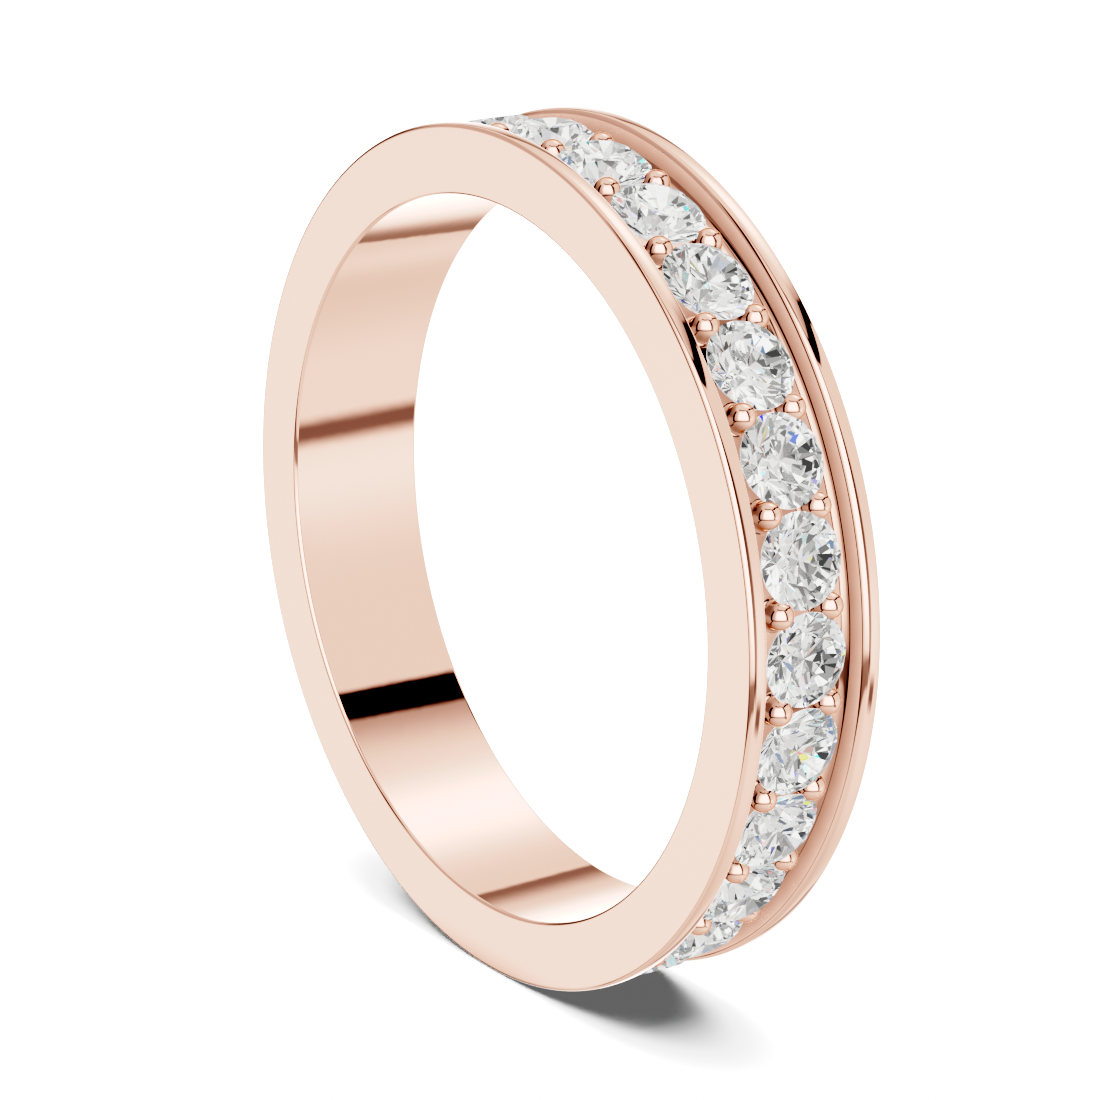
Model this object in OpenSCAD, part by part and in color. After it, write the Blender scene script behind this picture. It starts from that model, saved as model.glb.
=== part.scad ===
// Eternity wedding band: a channelled gold ring with round brilliants held by pairs of ball-topped prongs.
// The ring's axis is Y, the origin is the centre of the bore, and the ring stands on its edge with +Z up.

/* [Ring] */
// Diameter of the finger opening
bore_d = 16.9; // [16:0.1:18]
// Width of the band along the finger
band_w = 3.52; // [3.4:0.02:4]
// Radial height of the rails, from the bore to their tops
rail_height = 1.62; // [1.58:0.01:1.8]
// Radius of the rails' outside edges
outer_edge_r = 0.11; // [0.04:0.01:0.15]
// Radius of the rails' inside edges
inner_edge_r = 0.14; // [0.05:0.01:0.16]
// Radius of the two edges of the bore
bore_edge_r = 0.09; // [0.04:0.01:0.15]

/* [Channel] */
// Width of the channel between the two rails
channel_w = 2.58; // [2.56:0.01:2.7]
// Thickness of metal from the bore to the channel floor
floor_t = 0.97; // [0.92:0.01:1]
// Radius of the corners between the floor and the rails
floor_corner_r = 0.17; // [0.05:0.01:0.17]

/* [Stones] */
// Number of stones round the band
stone_count = 28; // [27:1:28]
// Space between the girdles of neighbouring stones
girdle_gap = 0.06; // [0.03:0.01:0.09]
// Metal left between the bore and the point of each stone
under_culet = 0.28; // [0.26:0.01:0.34]
// Table width as a share of the stone's diameter
table_share = 0.57; // [0.54:0.01:0.6]
// Girdle thickness as a share of the stone's diameter
girdle_share = 0.028; // [0.02:0.002:0.04]
// Angle of the crown's kite facets
crown_angle = 34.5; // [33:0.5:36]
// Angle of the pavilion's main facets
pavilion_angle = 40.75; // [40:0.25:41.5]

/* [Prongs] */
// Diameter of each prong's post and ball top
ball_d = 0.61; // [0.56:0.01:0.66]
// Distance between the two prongs of a pair
prong_spacing = 1.33; // [1.3:0.01:1.36]
// Depth of the ball's top below the rails
ball_below_rail = 0.11; // [0.05:0.01:0.15]
// Radius of the solder fillet round the foot of a prong
solder_r = 0.11; // [0.05:0.01:0.11]
// Diameter of the pin under a prong
pin_d = 0.4; // [0.3:0.02:0.5]
// Depth of the pin in the floor
pin_depth = 0.45; // [0.3:0.05:0.5]

/* [Hidden] */
gold = [0.91, 0.72, 0.62];
diamond = [0.93, 0.95, 0.97];
// Space between a stone and the metal that holds it
clearance = 0.006;

bore_r = bore_d / 2;
rail_r = bore_r + rail_height;
floor_r = bore_r + floor_t;
pitch = 360 / stone_count;

// The stones are as large as the girdle gap and the metal under them allow
stone_r = (bore_r + under_culet - girdle_gap / 2 / sin(pitch / 2))
    / (1 / tan(pitch / 2) - tan(pavilion_angle));
girdle_h = 2 * stone_r * girdle_share;
pavilion_h = stone_r * tan(pavilion_angle);
seat_r = bore_r + under_culet + pavilion_h;

// Inner corners of a stone's table, stars and lower halves; z is 0 at the girdle's lower edge
table_r = table_share * stone_r;
table_z = girdle_h + (stone_r - table_r) * tan(crown_angle);
star_r = (table_r * cos(22.5) + stone_r) / 2;
star_z = girdle_h + (stone_r - star_r * cos(22.5)) * tan(crown_angle);
half_r = 0.24 * stone_r;
half_z = half_r * cos(22.5) * tan(pavilion_angle) - pavilion_h;

ball_r = ball_d / 2;
ball_z = rail_r - ball_below_rail - ball_r;

function pad(i) = i < 10 ? str("0", i) : str(i);
function stone_name(i) = str("stone_", pad(i));
function prong_name(i) = str("prong_pair_", pad(i));
function polar(r, angle, z) = [r * cos(angle), r * sin(angle), z];

// Turns what stands on +Z to its place on the ring, counted in stones from the top
module around(steps) {
    rotate([0, steps * pitch, 0])
        children();
}

// What a rounding takes off a square corner; toward is the way the corner points, such as [1, -1]
module corner_waste(corner, toward, r) {
    translate(corner - r * toward)
        difference() {
            translate(r * (toward - [1, 1]) / 2)
                square(r);
            circle(r, $fn = 48);
        }
}

// The band's cross-section, with x as the radius and y along the finger
module band_section() {
    side_y = band_w / 2;
    wall_y = channel_w / 2;
    difference() {
        translate([bore_r, -side_y])
            square([rail_height, band_w]);
        difference() {
            translate([floor_r, -wall_y])
                square([rail_height, channel_w]);
            for (s = [-1, 1])
                corner_waste([floor_r, s * wall_y], [-1, s], floor_corner_r);
        }
        for (s = [-1, 1]) {
            corner_waste([rail_r, s * side_y], [1, s], outer_edge_r);
            corner_waste([rail_r, s * wall_y], [1, -s], inner_edge_r);
            corner_waste([bore_r, s * side_y], [-1, s], bore_edge_r);
        }
    }
}

// The space that a stone needs, turned about its own axis
module stone_space() {
    side_r = stone_r + clearance;
    apex_z = half_z * side_r / (stone_r - half_r);
    rotate_extrude($fn = 48)
        polygon([
            [0, apex_z],
            [side_r, 0],
            [side_r, girdle_h],
            [star_r + clearance, star_z + clearance],
            [table_r + clearance, table_z + clearance],
            [0, table_z + clearance]
        ]);
}

module band() {
    color(gold)
    difference() {
        rotate([90, 0, 0])
            rotate_extrude($fn = 180)
                band_section();
        for (i = [1 : stone_count]) {
            around(i - 1)
                translate([0, 0, seat_r])
                    stone_space();
            around(i - 0.5)
                for (s = [-1, 1])
                    translate([0, s * prong_spacing / 2, floor_r - pin_depth])
                        cylinder(d = pin_d, h = 2 * pin_depth, $fn = 32);
        }
    }
}

// Height where the halves meet the girdle at an angle. Each half is the plane through its inner corner
// and two points of the girdle 22.5 degrees apart, so the girdle's edge waves between them
function girdle_edge_z(angle, girdle_z, inner) =
    let (
        turn = angle % 45,
        on_edge = polar(stone_r, min(turn, 45 - turn), 0),
        start = polar(stone_r, 0, girdle_z),
        normal = cross(polar(stone_r, 22.5, girdle_z) - start, inner - start)
    )
    girdle_z - (normal[0] * (on_edge[0] - stone_r) + normal[1] * on_edge[1]) / normal[2];

// A round brilliant of 57 facets; its kites and mains point at multiples of 45 degrees
module brilliant() {
    steps = 4;
    ring = 16 * steps;
    sector = 2 * steps;
    star_tip = polar(star_r, 22.5, star_z);
    half_end = polar(half_r, 22.5, half_z);
    points = [
        for (k = [0 : 7]) polar(table_r, 45 * k, table_z),
        for (k = [0 : 7]) polar(star_r, 45 * k + 22.5, star_z),
        for (k = [0 : 7]) polar(half_r, 45 * k + 22.5, half_z),
        for (j = [0 : ring - 1])
            let (a = 360 * j / ring) polar(stone_r, a, girdle_edge_z(a, girdle_h, star_tip)),
        for (j = [0 : ring - 1])
            let (a = 360 * j / ring) polar(stone_r, a, girdle_edge_z(a, 0, half_end)),
        [0, 0, -pavilion_h]
    ];
    table = function (k) k % 8;
    star = function (k) 8 + k % 8;
    half = function (k) 16 + k % 8;
    upper = function (j) 24 + j % ring;
    lower = function (j) 24 + ring + j % ring;
    culet = 24 + 2 * ring;
    faces = [
        [for (k = [7 : -1 : 0]) table(k)],
        for (k = [0 : 7]) [table(k), table(k + 1), star(k)],
        for (k = [0 : 7]) [table(k), star(k), upper(k * sector), star(k + 7)],
        for (k = [0 : 7], side = [0, steps])
            [star(k), for (j = [steps : -1 : 0]) upper(k * sector + side + j)],
        for (j = [0 : ring - 1]) [upper(j), upper(j + 1), lower(j + 1), lower(j)],
        for (k = [0 : 7], side = [0, steps])
            [half(k), for (j = [0 : steps]) lower(k * sector + side + j)],
        for (k = [0 : 7]) [culet, half(k + 7), lower(k * sector), half(k)]
    ];
    polyhedron(points, faces);
}

module stone(i) {
    color(diamond)
    around(i - 1)
        translate([0, 0, seat_r])
            brilliant();
}

// One ball-topped prong with its solder fillet and its pin, before the stones bite into it
module prong() {
    foot_r = ball_r + solder_r;
    difference() {
        union() {
            translate([0, 0, ball_z])
                sphere(ball_r, $fn = 48);
            translate([0, 0, floor_r - solder_r])
                cylinder(r = ball_r, h = ball_z - floor_r + solder_r, $fn = 48);
            translate([0, 0, floor_r])
                rotate_extrude($fn = 48)
                    difference() {
                        translate([0, -solder_r])
                            square([foot_r, 2 * solder_r]);
                        translate([foot_r, solder_r])
                            circle(solder_r, $fn = 48);
                    }
        }
        rotate([90, 0, 0])
            cylinder(r = floor_r, h = 2 * band_w, center = true, $fn = 180);
    }
    translate([0, 0, floor_r - pin_depth])
        cylinder(d = pin_d, h = pin_depth + ball_r, $fn = 32);
}

module prong_pair(i) {
    color(gold)
    difference() {
        around(i - 0.5)
            for (s = [-1, 1])
                translate([0, s * prong_spacing / 2, 0])
                    prong();
        for (neighbour = [i - 1, i])
            around(neighbour)
                translate([0, 0, seat_r])
                    stone_space();
    }
}

band();
for (i = [1 : stone_count]) {
    stone(i);
    prong_pair(i);
}
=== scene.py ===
import math

import bmesh
import bpy
from mathutils import Matrix, Vector


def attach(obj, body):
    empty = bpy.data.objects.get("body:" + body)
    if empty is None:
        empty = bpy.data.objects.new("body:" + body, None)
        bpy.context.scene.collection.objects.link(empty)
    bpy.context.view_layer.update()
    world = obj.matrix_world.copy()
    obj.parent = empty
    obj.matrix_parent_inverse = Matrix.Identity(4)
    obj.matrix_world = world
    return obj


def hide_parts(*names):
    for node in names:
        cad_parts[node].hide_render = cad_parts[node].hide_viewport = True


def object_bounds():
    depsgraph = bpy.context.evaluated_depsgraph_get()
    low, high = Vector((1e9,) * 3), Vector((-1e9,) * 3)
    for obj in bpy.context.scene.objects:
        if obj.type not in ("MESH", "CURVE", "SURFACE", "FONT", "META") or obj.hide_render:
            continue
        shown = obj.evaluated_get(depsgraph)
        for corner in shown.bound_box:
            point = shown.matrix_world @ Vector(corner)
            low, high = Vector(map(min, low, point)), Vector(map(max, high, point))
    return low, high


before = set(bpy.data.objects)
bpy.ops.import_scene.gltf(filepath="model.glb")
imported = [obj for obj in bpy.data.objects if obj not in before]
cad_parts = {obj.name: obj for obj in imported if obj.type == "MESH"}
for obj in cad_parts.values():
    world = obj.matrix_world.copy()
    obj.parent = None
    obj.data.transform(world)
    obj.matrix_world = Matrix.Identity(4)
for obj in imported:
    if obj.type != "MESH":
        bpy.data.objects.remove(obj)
bpy.context.view_layer.update()
CAD_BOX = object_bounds()
SCENE = bpy.context.scene
FLOOR_Z = CAD_BOX[0].z
MM = 0.001

# The camera, as solved from the outlines in the photo: angles in degrees, lengths in metres
CAMERA_AZ, CAMERA_EL, CAMERA_FOV = 55.51, 17.30, 15
CAMERA_DISTANCE = 0.09667
CAMERA_TO_RIGHT, CAMERA_DOWN = 0.0000149, 0.0000268
CAMERA_CLIP = (0.001, 10)

# The floor and the one lamp that lights it: lengths in metres, power in watts
FLOOR_RADIUS, FLOOR_SIDES = 0.25, 96
FLOOR_COLOUR = (0.9, 0.9, 0.9, 1)
FLOOR_ROUGHNESS = 0.9
FLOOR_GLOW = 0.18
LAMP_HEIGHT, LAMP_SIZE, LAMP_POWER = 0.5, 0.8, 14.6

# Brightness that some rays see in place of the studio
BACKDROP = 1.7  # behind the ring, seen by the camera
STONE_GLOSS = 0.62  # mirrored by the outside of a stone

# How often a ray has bounced when it counts as bent by a stone, and when a stone lets it go
BENT_DEPTH, LOST_DEPTH = 2.5, 3.5

# The print curve, from scene brightness to picture brightness, between black at 0 and white at WHITE
WHITE = 1.6
PRINT_CURVE = [
    (0.08, 0.004), (0.135, 0.055), (0.223, 0.205), (0.368, 0.43), (0.607, 0.68), (1.0, 0.863), (1.21, 0.896),
]

# Rose gold, out in the open, and the colour of the painted shade that darkens it deep in the crevices
GOLD_OPEN = (0.87, 0.53, 0.435, 1)
GOLD_PAINTED_SHADE = (0.10, 0.045, 0.03, 1)
# How far the ambient occlusion that drives the painted shade looks, and with how many samples
CREVICE_REACH = 0.001  # metres
CREVICE_SAMPLES = 24
# How far a surface faces along the finger where it begins to be shaded as a wall, and where it fully is
WALL_FACING = (0.3, 0.8)
# How open a floor or a wall is where the painted shade is darkest, and where the gold has its open colour
FLOOR_OPENNESS = (0.05, 0.9)
WALL_OPENNESS = (0.14, 0.95)
HAZE_SCALE, HAZE_DETAIL = 900.0, 4.0
HAZE_NOISE = (0.3, 0.75)  # the part of the noise that the roughness follows
HAZE = (0.015, 0.05)  # least and greatest roughness
WAVE_SCALE, WAVE_DETAIL = 1900.0, 1.0

# Diamond
DIAMOND_COLOUR = (0.87, 0.858, 0.845, 1)
DIAMOND_IOR = 2.42
GIRDLE_SLOPE = 0.3  # the girdle's normals are less than this along the stone's axis, the facets' far more
FROST_SCALE = 12000.0
FROST_NOISE = (0.3, 0.7)  # the part of the noise that the frosting follows
FROST = (0.15, 0.4)  # least and greatest roughness of the girdle

# The band, in millimetres, as in the CAD
BORE_R, RAIL_R, FLOOR_R = 8.45, 10.07, 9.42
SIDE_Y, WALL_Y = 1.76, 1.29
OUTER_R, INNER_R, BORE_EDGE_R, CORNER_R = 0.11, 0.14, 0.09, 0.17
STONES = 28
# A seat is a cone round its stone's axis. Its radius is SEAT_SIDE at SEAT_R from the ring's axis, and its
# point is SEAT_DEPTH lower
SEAT_R, SEAT_SIDE, SEAT_DEPTH = 9.6405, 1.0617, 0.9102

# The band's mesh
DOME_SLOPE = math.radians(8)  # where the domed top of a rail meets its rounded edges
DOME_DROP = 0.008  # how much lower the dome puts those edges, in millimetres
FLAT = 0.01  # a narrow strip beside each rounding, in millimetres, so that what is flat stays flat
TURNS, AROUND_SEAT = STONES * 14, 72  # steps round the ring and round each seat
PATCH_SHARES = (0.0, 0.25, 0.5, 0.75, 1.0)  # rows of points from a seat's edge to the ends of its floor patch
SEAT_SHARES = (1.0, 0.6, 0.25, 0.02)  # and from its edge to its point
SEARCH_FROM, HALVINGS = 0.3, 30  # the search for a seat's edge


def grey(level):
    """A grey as red, green and blue."""
    return (level, level, level)


# The cards, which only rays bent by the stones see: the share of the cards at which each kind begins, and its
# colour
CARDS = [
    (0.0, grey(0.035)),
    (0.08, grey(0.16)),
    (0.19, (0.14, 0.22, 0.38)),
    (0.202, grey(0.31)),
    (0.34, (0.65, 0.42, 0.32)),
    (0.355, grey(0.52)),
    (0.50, (1.05, 0.78, 0.66)),
    (0.53, grey(0.84)),
    (0.77, (0.62, 0.85, 0.9)),
    (0.78, grey(1.1)),
    (0.92, grey(1.5)),
]
CARD_SCALE = 3.2
CARD_TURN = (9.3, 4.4, 2.6)  # where in the pattern the cards are taken from
CARD_SHIFTS = (-0.0012, 0.0, 0.0016)  # how far apart red, green and blue see them


class Maths:
    """Adds nodes to a tree. The arithmetic methods return the new node's output."""

    def __init__(self, tree):
        self.tree = tree

    def fill(self, node, inputs):
        """Links or sets a node's inputs, given by name or number."""
        for key, value in dict(inputs).items():
            if isinstance(value, bpy.types.NodeSocket):
                self.tree.links.new(value, node.inputs[key])
            else:
                node.inputs[key].default_value = value

    def new(self, kind, inputs=(), **settings):
        """Adds a node with the given inputs and settings."""
        node = self.tree.nodes.new(kind)
        for name, value in settings.items():
            setattr(node, name, value)
        self.fill(node, inputs)
        return node

    def math(self, operation, *values):
        return self.new("ShaderNodeMath", enumerate(values), operation=operation).outputs[0]

    def vector(self, operation, *values):
        node = self.new("ShaderNodeVectorMath", enumerate(values), operation=operation)
        return node.outputs["Value" if operation == "DOT_PRODUCT" else "Vector"]

    def add(self, a, b):
        return self.math("ADD", a, b)

    def sub(self, a, b):
        return self.math("SUBTRACT", a, b)

    def mul(self, a, b):
        return self.math("MULTIPLY", a, b)

    def blend(self, a, b, share):
        """a where share is 0, b where it is 1."""
        return self.add(self.mul(a, self.sub(1.0, share)), self.mul(b, share))

    def ramp(self, value, low, high, to_low=0.0, to_high=1.0, kind="LINEAR"):
        """Takes low to to_low and high to to_high, and stays level beyond them."""
        inputs = {"Value": value, "From Min": low, "From Max": high, "To Min": to_low, "To Max": to_high}
        return self.new("ShaderNodeMapRange", inputs, interpolation_type=kind).outputs["Result"]

    def smooth(self, value, low, high, to_low=0.0, to_high=1.0):
        return self.ramp(value, low, high, to_low, to_high, "SMOOTHSTEP")

    def window(self, value, low, high, soft):
        """1 between low and high, falling to 0 over soft outside them."""
        return self.mul(self.smooth(value, low - soft, low), self.smooth(value, high, high + soft, 1.0, 0.0))

    def bell(self, value, middle, width):
        """1 in the middle, falling smoothly to 1/e at width from it."""
        scaled = self.math("DIVIDE", self.sub(value, middle), width)
        return self.math("EXPONENT", self.mul(self.mul(scaled, scaled), -1.0))


def camera():
    a, e = math.radians(CAMERA_AZ), math.radians(CAMERA_EL)
    back = Vector((math.sin(a) * math.cos(e), -math.cos(a) * math.cos(e), math.sin(e)))
    right = Vector((math.cos(a), math.sin(a), 0))
    up = back.cross(right)
    data = bpy.data.cameras.new("camera")
    data.angle = math.radians(CAMERA_FOV)
    data.clip_start, data.clip_end = CAMERA_CLIP
    o = bpy.data.objects.new("camera", data)
    SCENE.collection.objects.link(o)
    axes = Matrix((right, up, back)).transposed()
    o.matrix_world = axes.to_4x4()
    o.location = back * CAMERA_DISTANCE + right * CAMERA_TO_RIGHT - up * CAMERA_DOWN
    SCENE.camera = o


def print_curve():
    """A bright picture with deep shadows."""
    view = SCENE.view_settings
    view.view_transform = "Standard"
    view.look = "None"
    view.use_curve_mapping = True
    mapping = view.curve_mapping
    mapping.extend = "HORIZONTAL"
    mapping.white_level = (WHITE, WHITE, WHITE)
    # Curve 3 is the one for red, green and blue together
    points = mapping.curves[3].points
    points[0].location = (0.0, 0.0)
    points[1].location = (1.0, 1.0)
    for scene_level, print_level in PRINT_CURVE:
        points.new(scene_level / WHITE, print_level)
    mapping.update()


def cards(m, coords, channel):
    """One colour channel of the cards: a Voronoi pattern with a level for each share of its cells."""
    shift = CARD_SHIFTS[channel]
    seen = m.vector("ADD", coords, (shift + CARD_TURN[0], CARD_TURN[1] - shift, shift + CARD_TURN[2]))
    cell = m.new("ShaderNodeTexVoronoi", {"Scale": CARD_SCALE, "Vector": seen})
    share = m.new("ShaderNodeSeparateColor", {0: cell.outputs["Color"]}).outputs[0]
    levels = m.new("ShaderNodeValToRGB", {0: share})
    levels.color_ramp.interpolation = "CONSTANT"
    stops = levels.color_ramp.elements
    stops[0].position, stops[1].position = CARDS[0][0], CARDS[1][0]
    for start, _ in CARDS[2:]:
        stops.new(start)
    for stop, (_, colour) in zip(stops, CARDS):
        stop.color = (*grey(colour[channel]), 1)
    return levels.outputs[0]


def studio():
    """A white tent of large soft panels round the ring, with narrow dark gaps between the panels.
    Directions are in degrees: az from +X towards +Y, el above the horizon."""
    world = bpy.data.worlds.new("studio")
    world.use_nodes = True
    world.node_tree.nodes.clear()
    m = Maths(world.node_tree)
    coords = m.new("ShaderNodeTexCoord").outputs["Generated"]
    x, y, z = m.new("ShaderNodeSeparateXYZ", {0: coords}).outputs
    az = m.mul(m.math("ARCTAN2", y, x), 180 / math.pi)
    el = m.mul(m.math("ARCSINE", z), 180 / math.pi)

    def panel(az_span, az_soft, el_span, el_soft, level):
        shape = m.mul(m.window(az, *az_span, az_soft), m.window(el, *el_span, el_soft))
        return m.mul(shape, level)

    def glow(az_mid, az_width, el_mid, el_width, level):
        return m.mul(m.mul(m.bell(az, az_mid, az_width), m.bell(el, el_mid, el_width)), level)

    def gap(distance, before, core, after, depth, where):
        """What a narrow gap leaves of the light. It is dark for a distance of 0 to core, with soft sides
        before and after that, as far along as where says."""
        across = m.mul(m.smooth(distance, -before, 0), m.smooth(distance, core, core + after, 1.0, 0.0))
        return m.sub(1.0, m.mul(m.mul(across, depth), where))

    # Even all round, and a little dimmer straight below
    light = m.smooth(el, -80, -35, 0.80, 1.0)
    for more in [
        # The main panel, on the camera's side, then overhead, then facing the camera from behind the ring
        panel(az_span=(-58, -4), az_soft=26, el_span=(0, 38), el_soft=26, level=1.35),
        glow(az_mid=111, az_width=24, el_mid=56, el_width=12, level=1.25),
        panel(az_span=(138, 158), az_soft=20, el_span=(-31, -4), el_soft=21, level=1.55),
        # Fill from below
        glow(az_mid=33, az_width=30, el_mid=-14, el_width=15, level=0.42),
        glow(az_mid=45, az_width=40, el_mid=-46, el_width=14, level=0.16),
        glow(az_mid=108, az_width=12, el_mid=-56, el_width=8, level=0.2),
        # What the front face shows
        glow(az_mid=-145, az_width=28, el_mid=-18, el_width=20, level=0.34),
    ]:
        light = m.add(light, more)

    # The gap to the right of the main panel, darker higher up
    right_depth = m.smooth(el, -20, 45, 0.66, 0.93)
    # The gap over the main panel, which then comes down to the right. It is black in the middle and brown at
    # both ends
    bend = m.add(m.ramp(az, 0, 40, 65, 47.5), m.ramp(az, 40, 72, 0, -4.2))
    over = m.sub(el, m.add(bend, m.ramp(az, 72, 112, 0, -31)))
    over_depth = m.add(0.80, m.mul(m.window(az, 40, 74, 10), 0.20))
    for left_over in [
        # Dim patches towards -X, which the rounded edges and the prongs mirror
        m.sub(1.0, panel(az_span=(-180, -122), az_soft=14, el_span=(4, 40), el_soft=14, level=0.4)),
        m.sub(1.0, panel(az_span=(-181, -164), az_soft=6, el_span=(-38, 10), el_soft=10, level=0.75)),
        m.sub(1.0, panel(az_span=(162, 181), az_soft=8, el_span=(-38, 10), el_soft=10, level=0.75)),
        # Left, right and bottom of the main panel
        gap(m.add(az, 114), before=5, core=11, after=4, depth=0.9, where=m.window(el, -20, 40, 10)),
        gap(m.sub(az, 16), before=4, core=9, after=5, depth=right_depth, where=m.window(el, -20, 50, 6)),
        gap(m.add(el, 26), before=3, core=5, after=3.5, depth=0.66, where=m.window(az, -104, 20, 6)),
        # Seams that run on from its lower corners
        gap(m.add(el, m.ramp(az, -150, -90, 52, 24)), before=3, core=3, after=3, depth=0.8,
            where=m.window(az, -150, -92, 8)),
        gap(m.add(el, m.ramp(az, 20, 60, 20, 45)), before=3, core=3, after=3, depth=0.4,
            where=m.window(az, 22, 27, 4)),
        # Over it
        gap(m.add(over, 2.2), before=2.2, core=5.6, after=2.0, depth=over_depth,
            where=m.window(az, -95, 112, 10)),
        gap(over, before=2, core=4, after=11, depth=0.5, where=m.window(az, 48, 85, 14)),
        # Short gaps that the bore mirrors
        gap(m.add(el, 28.8), before=4.5, core=2.0, after=5.0, depth=0.76, where=m.window(az, 34, 43, 6)),
        gap(m.add(el, 51.4), before=1.2, core=0.6, after=7.5, depth=0.62, where=m.window(az, 112, 150, 6)),
        gap(m.sub(27.8, el), before=2.0, core=0.8, after=11, depth=0.68, where=m.window(az, 130, 165, 8)),
    ]:
        light = m.mul(light, left_over)

    # Of the rays that aren't bent, only those off the outside of a stone's facets are singular. Bent rays see
    # the cards, and so does a ray that has bounced about for long
    path = m.new("ShaderNodeLightPath").outputs
    light = m.blend(light, STONE_GLOSS, path["Is Singular Ray"])
    wandered = m.math("GREATER_THAN", path["Ray Depth"], BENT_DEPTH)
    bent = m.math("MAXIMUM", path["Is Transmission Ray"], wandered)
    channels = {}
    for channel in range(3):
        mirrored_or_bent = m.blend(light, cards(m, coords, channel), bent)
        channels[channel] = m.blend(mirrored_or_bent, BACKDROP, path["Is Camera Ray"])
    colour = m.new("ShaderNodeCombineColor", channels).outputs[0]
    background = m.new("ShaderNodeBackground", {"Color": colour})
    m.new("ShaderNodeOutputWorld", {0: background.outputs[0]})
    world.cycles_visibility.diffuse = False
    SCENE.world = world


def new_material(name):
    """A material, its node maths and its main shader."""
    material = bpy.data.materials.new(name)
    material.use_nodes = True
    tree = material.node_tree
    return material, Maths(tree), tree.nodes["Principled BSDF"]


def rose_gold(name, edge, waves, floor_shade, wall_shade):
    """Polished 14 k rose gold: a little haze that comes and goes, gentle buffing waves of the given height in
    millimetres, and painted shade: a darker colour in the crevices, found by ambient occlusion. floor_shade
    and wall_shade say how much of the open colour the painted shade leaves deep in a crevice, on floors and
    on the walls, which face along the finger; on the walls it also stands in for the ring's own dark
    reflections. edge is the tint at grazing angles."""
    material, m, shader = new_material(name)
    coords = m.new("ShaderNodeTexCoord").outputs
    place = coords["Object"]
    haze = m.new("ShaderNodeTexNoise", {"Vector": place, "Scale": HAZE_SCALE, "Detail": HAZE_DETAIL})
    wave = m.new("ShaderNodeTexNoise", {"Vector": place, "Scale": WAVE_SCALE, "Detail": WAVE_DETAIL})
    bump = m.new("ShaderNodeBump", {"Strength": 1.0, "Distance": waves * MM, "Height": wave.outputs["Fac"]})

    # Painted shade: ambient occlusion darkens the base colour in crevices, more on walls that face along the
    # finger, where it also stands in for the ring's own dark reflections
    crevices = m.new("ShaderNodeAmbientOcclusion", {"Distance": CREVICE_REACH}, samples=CREVICE_SAMPLES)
    openness = crevices.outputs["AO"]
    facing = m.new("ShaderNodeSeparateXYZ", {0: coords["Normal"]}).outputs
    wall = m.smooth(m.math("ABSOLUTE", facing[1]), *WALL_FACING)
    on_floor = m.smooth(openness, *FLOOR_OPENNESS, floor_shade, 1.0)
    on_wall = m.smooth(openness, *WALL_OPENNESS, wall_shade, 1.0)
    # Sockets 6 and 7 are the two colours: the painted shade and the open gold
    shades = {0: m.blend(on_floor, on_wall, wall), 6: GOLD_PAINTED_SHADE, 7: GOLD_OPEN}
    m.fill(shader, {
        "Metallic": 1.0,
        "Specular Tint": edge,
        "Roughness": m.smooth(haze.outputs["Fac"], *HAZE_NOISE, *HAZE),
        "Normal": bump.outputs["Normal"],
        "Base Color": m.new("ShaderNodeMix", shades, data_type="RGBA").outputs[2],
    })
    return material


def diamond():
    """Clear diamond with a frosted girdle. The metal round it doesn't mirror it: a ray that comes in off a
    mirror passes straight through, and so does one that has been thrown about inside for long."""
    material, m, shader = new_material("diamond_clear")
    # Only the girdle faces away from the stone's axis, which points straight out from the ring's axis
    coords = m.new("ShaderNodeTexCoord").outputs
    outward = m.vector("NORMALIZE", m.vector("MULTIPLY", coords["Object"], (1, 0, 1)))
    slope = m.math("ABSOLUTE", m.vector("DOT_PRODUCT", outward, coords["Normal"]))
    on_girdle = m.math("LESS_THAN", slope, GIRDLE_SLOPE)
    grain = m.new("ShaderNodeTexNoise", {"Vector": coords["Object"], "Scale": FROST_SCALE})
    m.fill(shader, {
        "Base Color": DIAMOND_COLOUR,
        "IOR": DIAMOND_IOR,
        "Transmission Weight": 1.0,
        "Roughness": m.mul(on_girdle, m.smooth(grain.outputs["Fac"], *FROST_NOISE, *FROST)),
    })

    path = m.new("ShaderNodeLightPath").outputs
    inside = m.new("ShaderNodeNewGeometry").outputs["Backfacing"]
    passing = m.math("MINIMUM", path["Transparent Depth"], 1.0)
    outside = m.math("MAXIMUM", m.sub(1.0, inside), passing)
    lost = m.math("GREATER_THAN", path["Ray Depth"], LOST_DEPTH)
    let_through = m.math("MAXIMUM", m.mul(path["Is Glossy Ray"], outside), lost)
    clear = m.new("ShaderNodeBsdfTransparent")
    surface = m.new("ShaderNodeMixShader", {0: let_through, 1: shader.outputs[0], 2: clear.outputs[0]})
    m.fill(material.node_tree.nodes["Material Output"], {0: surface.outputs[0]})
    return material


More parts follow.
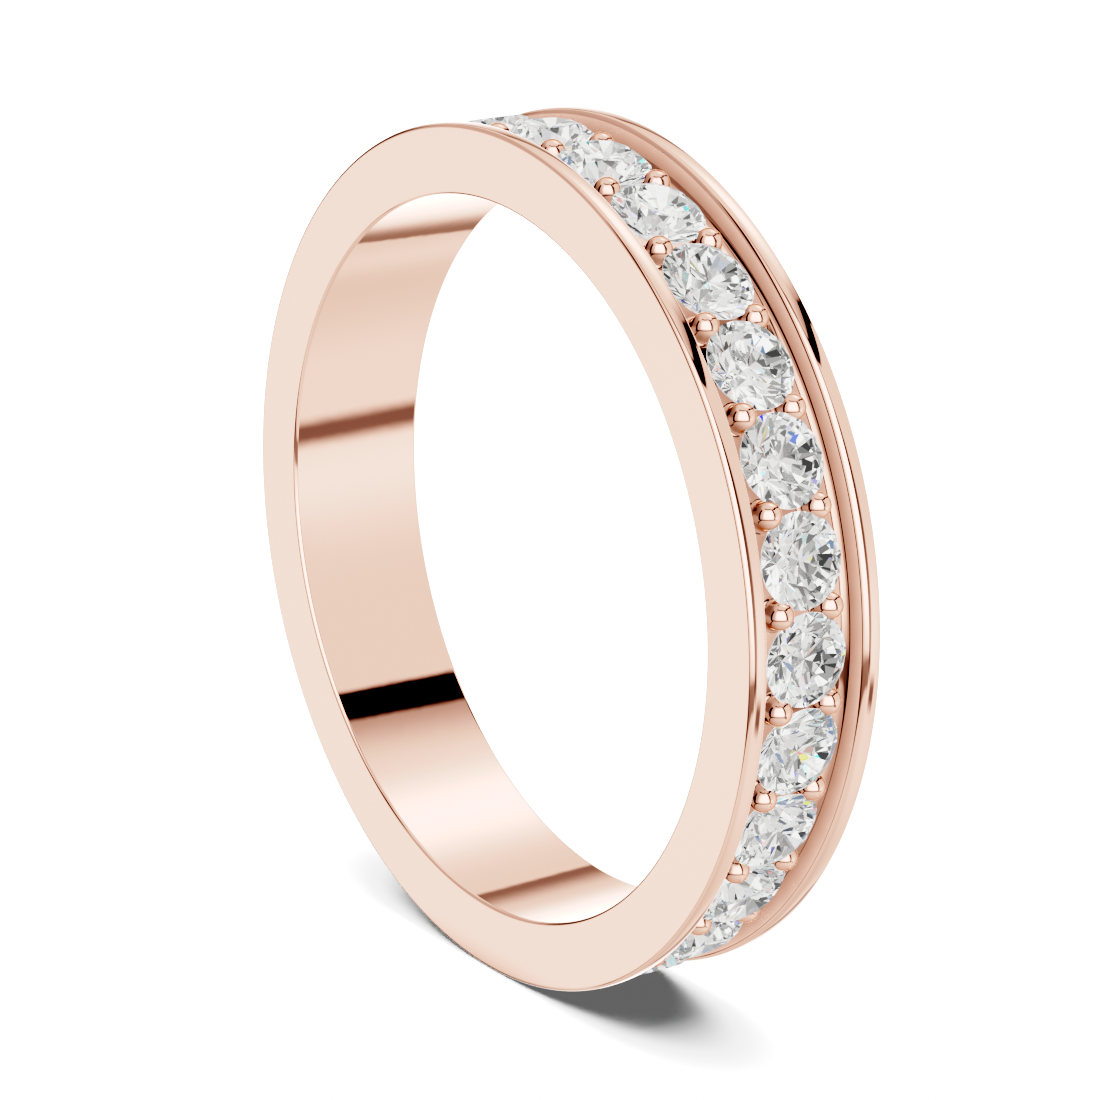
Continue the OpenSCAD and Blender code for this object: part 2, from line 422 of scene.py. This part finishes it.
def half_section():
    """Points (r, y, normal angle) of the cross-section's +Y half, from the bore's middle round to the floor's
    edge. The normal angle is 0 along +r and a quarter turn along +Y."""
    points = []

    def arc(r, y, radius, start, end, steps, inward=False):
        for i in range(steps + 1):
            a = start + (end - start) * i / steps
            normal = a + math.pi if inward else a
            points.append((r + radius * math.cos(a), y + radius * math.sin(a), normal))

    quarter = math.pi / 2
    points.append((BORE_R, 0.0, math.pi))
    points.append((BORE_R, SIDE_Y - BORE_EDGE_R - FLAT, math.pi))
    arc(BORE_R + BORE_EDGE_R, SIDE_Y - BORE_EDGE_R, BORE_EDGE_R, math.pi, quarter, steps=14)
    # Outside edge, dome and inside edge of the rail, tangent to one another
    outer_r, outer_y = RAIL_R - OUTER_R - DOME_DROP, SIDE_Y - OUTER_R
    inner_r, inner_y = RAIL_R - INNER_R - DOME_DROP, WALL_Y + INNER_R
    high_y = outer_y + OUTER_R * math.sin(DOME_SLOPE)
    low_y = inner_y - INNER_R * math.sin(DOME_SLOPE)
    dome_r = (high_y - low_y) / 2 / math.sin(DOME_SLOPE)
    points.append((outer_r - FLAT, SIDE_Y, quarter))
    arc(outer_r, outer_y, OUTER_R, quarter, DOME_SLOPE, steps=16)
    arc(RAIL_R - dome_r, (high_y + low_y) / 2, dome_r, DOME_SLOPE, -DOME_SLOPE, steps=10)
    arc(inner_r, inner_y, INNER_R, -DOME_SLOPE, -quarter, steps=18)
    # Wall, then the hollow corner down to the floor
    points.append((FLOOR_R + CORNER_R + FLAT, WALL_Y, -quarter))
    arc(FLOOR_R + CORNER_R, WALL_Y - CORNER_R, CORNER_R, quarter, math.pi, steps=14, inward=True)
    return points


def seat_height(rho):
    """Height of a seat above SEAT_R, at rho from the stone's axis."""
    return -SEAT_DEPTH * (1 - rho / SEAT_SIDE)


def seat_edge(phi):
    """How far from the stone's axis its seat breaks through the floor. phi is 0 along the circumference and a
    quarter turn along the finger."""
    low, high = SEARCH_FROM, SEAT_SIDE
    for _ in range(HALVINGS):
        rho = (low + high) / 2
        floor_height = math.sqrt(FLOOR_R ** 2 - (rho * math.cos(phi)) ** 2) - SEAT_R
        if seat_height(rho) > floor_height:
            high = rho
        else:
            low = rho
    return low


class Shell:
    """A mesh in the making, with a normal for each vertex."""

    def __init__(self):
        self.points, self.normals, self.faces = [], [], []

    def vertex(self, angle, place, normal):
        """Adds a vertex and returns its number. angle goes round the ring from +X towards +Z. The parts of
        place and of normal point outward at that angle, round the ring towards smaller angles, and along the
        finger."""
        c, s = math.cos(angle), math.sin(angle)
        out, back, along = place
        self.points.append(((out * c + back * s) * MM, along * MM, (out * s - back * c) * MM))
        out, back, along = normal
        self.normals.append(Vector((out * c + back * s, along, out * s - back * c)).normalized())
        return len(self.points) - 1

    def quads(self, rows, closed=False):
        """Adds the faces between rows of vertex numbers."""
        following = rows[1:] + (rows[:1] if closed else [])
        for a, b in zip(rows, following):
            for j in range(len(a) - 1):
                self.faces.append((a[j], a[j + 1], b[j + 1], b[j]))


def add_channel(shell):
    """The section turned round the ring's axis: its +Y half, then its -Y half."""
    section = half_section()
    for side in (1, -1):
        rows = []
        for t in range(TURNS):
            angle = 2 * math.pi * t / TURNS
            rows.append([
                shell.vertex(angle, (r, 0.0, side * y), (math.cos(a), 0.0, side * math.sin(a)))
                for r, y, a in section
            ])
        shell.quads(rows, closed=True)


def add_floor_patch(shell, middle):
    """One stone's share of the floor, from its seat's edge out to the hollow corners and the next shares."""
    reach_u, reach_v = math.pi / STONES * FLOOR_R, WALL_Y - CORNER_R
    tiny = 1e-9
    rows = []
    for j in range(AROUND_SEAT + 1):
        phi = 2 * math.pi * j / AROUND_SEAT
        cu, cv = math.cos(phi), math.sin(phi)
        near = seat_edge(phi)
        far = min(reach_u / max(abs(cu), tiny), reach_v / max(abs(cv), tiny))
        u0, v0 = math.asin(near * cu / FLOOR_R), near * cv
        u1, v1 = far * cu / FLOOR_R, far * cv
        rows.append([
            shell.vertex(middle - (u0 + (u1 - u0) * f), (FLOOR_R, 0.0, v0 + (v1 - v0) * f), (1, 0, 0))
            for f in PATCH_SHARES
        ])
    shell.quads(rows)


def add_seat(shell, middle):
    """One stone's seat, from its edge in the floor down to its point."""
    tilt = math.atan2(SEAT_SIDE, SEAT_DEPTH)
    rows = []
    for j in range(AROUND_SEAT + 1):
        phi = 2 * math.pi * j / AROUND_SEAT
        cu, cv = math.cos(phi), math.sin(phi)
        normal = (math.sin(tilt), -math.cos(tilt) * cu, -math.cos(tilt) * cv)
        row = []
        for share in SEAT_SHARES:
            rho = seat_edge(phi) * share
            row.append(shell.vertex(middle, (SEAT_R + seat_height(rho), rho * cu, rho * cv), normal))
        rows.append(row)
    shell.quads(rows)


def band():
    """The band as one mesh with exact normals: a turned channel section, and a floor with a seat for each
    stone."""
    shell = Shell()
    add_channel(shell)
    for i in range(STONES):
        middle = math.pi / 2 - 2 * math.pi / STONES * i
        add_floor_patch(shell, middle)
        add_seat(shell, middle)

    mesh = bpy.data.meshes.new("band_polished")
    mesh.from_pydata(shell.points, [], shell.faces)
    # Faces turned the way their normals say
    wrong = [f.index for f in mesh.polygons if f.normal.dot(shell.normals[f.vertices[0]]) < 0]
    b = bmesh.new()
    b.from_mesh(mesh)
    b.faces.ensure_lookup_table()
    bmesh.ops.reverse_faces(b, faces=[b.faces[i] for i in wrong])
    b.to_mesh(mesh)
    b.free()
    mesh.polygons.foreach_set("use_smooth", [True] * len(mesh.polygons))
    mesh.normals_split_custom_set_from_vertices(shell.normals)
    o = bpy.data.objects.new("band_polished", mesh)
    SCENE.collection.objects.link(o)
    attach(o, "root")
    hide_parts("band")
    return o


def keep_out_of_mirrors(o):
    """Hides the object from rays that metal or stone has mirrored or bent."""
    o.visible_glossy = False
    o.visible_transmission = False


def floor():
    bpy.ops.mesh.primitive_circle_add(
        vertices=FLOOR_SIDES, radius=FLOOR_RADIUS, fill_type="NGON", location=(0, 0, FLOOR_Z))
    o = bpy.context.object
    o.name = "floor"
    paper, m, shader = new_material("floor_paper")
    m.fill(shader, {
        "Base Color": FLOOR_COLOUR,
        "Roughness": FLOOR_ROUGHNESS,
        "Specular IOR Level": 0.0,
        "Emission Color": (1, 1, 1, 1),
        "Emission Strength": FLOOR_GLOW,
    })
    o.data.materials.append(paper)
    keep_out_of_mirrors(o)


def lamp():
    """A square soft lamp straight above the ring, which lights only the floor."""
    data = bpy.data.lights.new("key", "AREA")
    data.shape = "SQUARE"
    data.size = LAMP_SIZE
    data.energy = LAMP_POWER
    o = bpy.data.objects.new("key", data)
    SCENE.collection.objects.link(o)
    o.location = (0, 0, LAMP_HEIGHT)
    keep_out_of_mirrors(o)


camera()
studio()
print_curve()
floor()
lamp()

BAND_GOLD = rose_gold(
    "rose_gold_band", edge=(0.92, 0.84, 0.8, 1), waves=0.0009, floor_shade=0.5, wall_shade=0.24)
PRONG_GOLD = rose_gold(
    "rose_gold_prongs", edge=(0.55, 0.32, 0.24, 1), waves=0.003, floor_shade=0.5, wall_shade=0.34)
DIAMOND = diamond()

BAND = band()
BAND.data.materials.append(BAND_GOLD)
keep_out_of_mirrors(BAND)
for name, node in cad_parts.items():
    node.data.materials[0] = DIAMOND if name.startswith("stone") else PRONG_GOLD
    if name.startswith("prong"):
        keep_out_of_mirrors(node)

CYCLES = SCENE.cycles
CYCLES.max_bounces = 24
CYCLES.glossy_bounces = 20
CYCLES.transmission_bounces = 20
CYCLES.diffuse_bounces = 2
CYCLES.caustics_reflective = False
CYCLES.caustics_refractive = False
CYCLES.blur_glossy = 0.0
CYCLES.sample_clamp_indirect = 0.0

bpy.context.view_layer.update()
